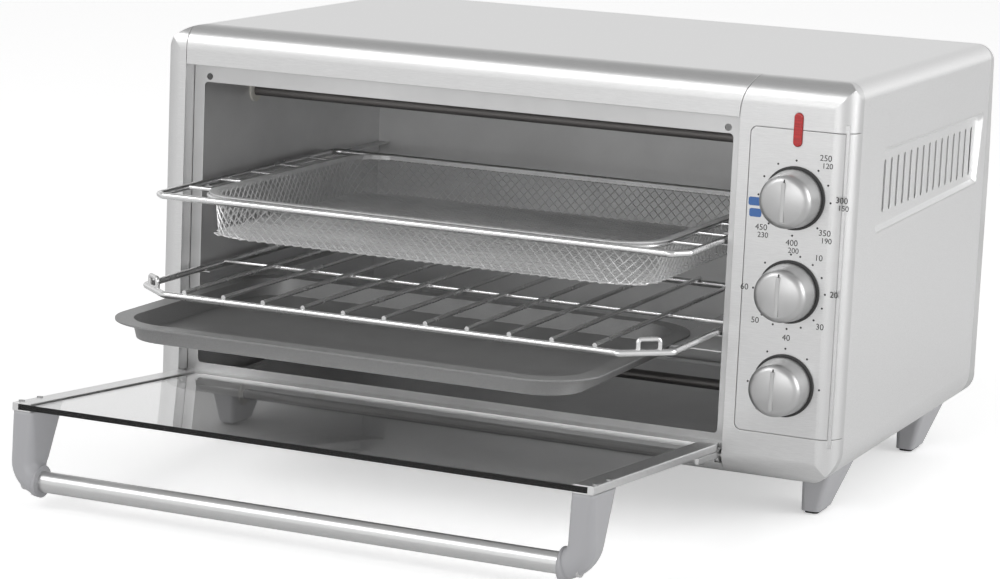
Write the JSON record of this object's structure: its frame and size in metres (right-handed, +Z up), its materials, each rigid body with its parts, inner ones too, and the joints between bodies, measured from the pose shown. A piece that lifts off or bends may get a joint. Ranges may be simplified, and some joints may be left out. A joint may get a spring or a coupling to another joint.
{
  "type": "air fryer toaster oven",
  "caption": "Countertop toaster oven with a drop-down glass door, side dials, a wire rack, a mesh fry basket, a baking pan and a pull-out crumb tray.",
  "frame": {"origin": "middle of the bounding box on the worktop, door open as shown", "axes": "+X to the right, +Y from the door to the back, +Z up"},
  "size_m": [0.546, 0.6178, 0.32],
  "materials": {
    "brushed_steel": "brushed, satin",
    "silver_moulding": "brushed silver, satin",
    "silver_plastic": "silver grey, satin",
    "dark_plastic": "dark, satin",
    "cavity_steel": "grey, satin",
    "chrome_wire": "bright",
    "basket_mesh": "expanded mesh",
    "pan_coating": "dark non-stick, satin",
    "tray_sheet": "satin",
    "clear_glass": "clear",
    "red_lens": "glossy, translucent look",
    "foot_grey": "satin",
    "rubber": "matt",
    "ceramic": "matt, stands for ceramic",
    "heater_sheath": "dull",
    "motor_steel": "satin",
    "knob_silver": "silver, spun look",
    "steel_shaft": "turned"
  },
  "bodies": {
    "oven_body": {"outer_wrap": "brushed_steel", "side_vent_grille": "brushed_steel", "bottom_plate": "cavity_steel", "rear_cover": "silver_moulding", "rear_screws": "steel_shaft", "cord_gland": "dark_plastic", "left_end_cap": "silver_moulding", "top_trim": "silver_moulding", "bottom_trim": "silver_moulding", "control_housing": "silver_moulding", "control_fascia": "silver_moulding", "control_carrier": "cavity_steel", "indicator_lamp": "red_lens", "dial_rings": "dark_plastic", "thermostat": "dark_plastic", "timer_mechanism": "cavity_steel", "function_switch": "dark_plastic", "door_jamb": "cavity_steel", "cavity_left_wall": "cavity_steel", "cavity_right_wall": "cavity_steel", "cavity_roof": "cavity_steel", "cavity_back": "cavity_steel", "shelf_runners_left": "cavity_steel", "shelf_runners_right": "cavity_steel", "tray_runners": "cavity_steel", "upper_heaters": "heater_sheath", "lower_heaters": "heater_sheath", "heater_insulators": "ceramic", "fan_shroud": "cavity_steel", "fan_motor": "motor_steel", "hinge_pins": "steel_shaft", "feet": "foot_grey", "foot_pads": "rubber"},
    "door": {"door_glass": "clear_glass", "door_rail_left": "brushed_steel", "door_rail_right": "brushed_steel", "hinge_arm_left": "brushed_steel", "hinge_arm_right": "brushed_steel", "handle_bracket_left": "silver_plastic", "handle_bracket_right": "silver_plastic", "handle_bar": "brushed_steel", "door_screws": "steel_shaft"},
    "rack": {"wire_rack": "chrome_wire"},
    "basket": {"basket_frame": "chrome_wire", "fry_basket": "basket_mesh"},
    "pan": {"baking_pan": "pan_coating"},
    "tray": {"crumb_tray": "tray_sheet"},
    "temperature_dial": {"temperature_knob": "knob_silver", "temperature_shaft": "steel_shaft"},
    "timer_dial": {"timer_knob": "knob_silver", "timer_shaft": "steel_shaft"},
    "function_dial": {"function_knob": "knob_silver", "function_shaft": "steel_shaft"},
    "fan": {"convection_fan": "tray_sheet"}
  },
  "joints": [
    {"name": "door_hinge", "type": "hinge", "parent": "oven_body", "child": "door", "pos_m": [0, -0.0626, 0.047], "axis": [-1, 0, 0], "range_deg": [0, 85.7]},
    {"name": "rack_slide", "type": "slide", "parent": "oven_body", "child": "rack", "axis": [0, 1, 0], "range_m": [0, 0.12]},
    {"name": "basket_slide", "type": "slide", "parent": "oven_body", "child": "basket", "axis": [0, 1, 0], "range_m": [0, 0.084]},
    {"name": "pan_slide", "type": "slide", "parent": "oven_body", "child": "pan", "axis": [0, 1, 0], "range_m": [0, 0.23]},
    {"name": "tray_slide", "type": "slide", "parent": "oven_body", "child": "tray", "axis": [0, -1, 0], "range_m": [0, 0.18]},
    {"name": "temperature_dial_turn", "type": "hinge", "parent": "oven_body", "child": "temperature_dial", "pos_m": [0.2325, -0.0666, 0.2376], "axis": [0, 1, 0], "range_deg": [0, 300]},
    {"name": "timer_dial_turn", "type": "hinge", "parent": "oven_body", "child": "timer_dial", "pos_m": [0.2325, -0.0666, 0.1712], "axis": [0, 1, 0], "range_deg": [0, 300]},
    {"name": "function_dial_turn", "type": "hinge", "parent": "oven_body", "child": "function_dial", "pos_m": [0.2325, -0.0666, 0.104], "axis": [0, 1, 0], "range_deg": [0, 270]},
    {"name": "fan_spin", "type": "hinge", "parent": "oven_body", "child": "fan", "pos_m": [0.189, 0.1034, 0.225], "axis": [1, 0, 0], "continuous": true}
  ],
  "couplings": [
    {"joint": "rack_slide", "follows": "door_hinge", "m_per_rad": 0.08022},
    {"joint": "basket_slide", "follows": "door_hinge", "m_per_rad": 0.05615},
    {"joint": "pan_slide", "follows": "door_hinge", "m_per_rad": 0.15376}
  ]
}
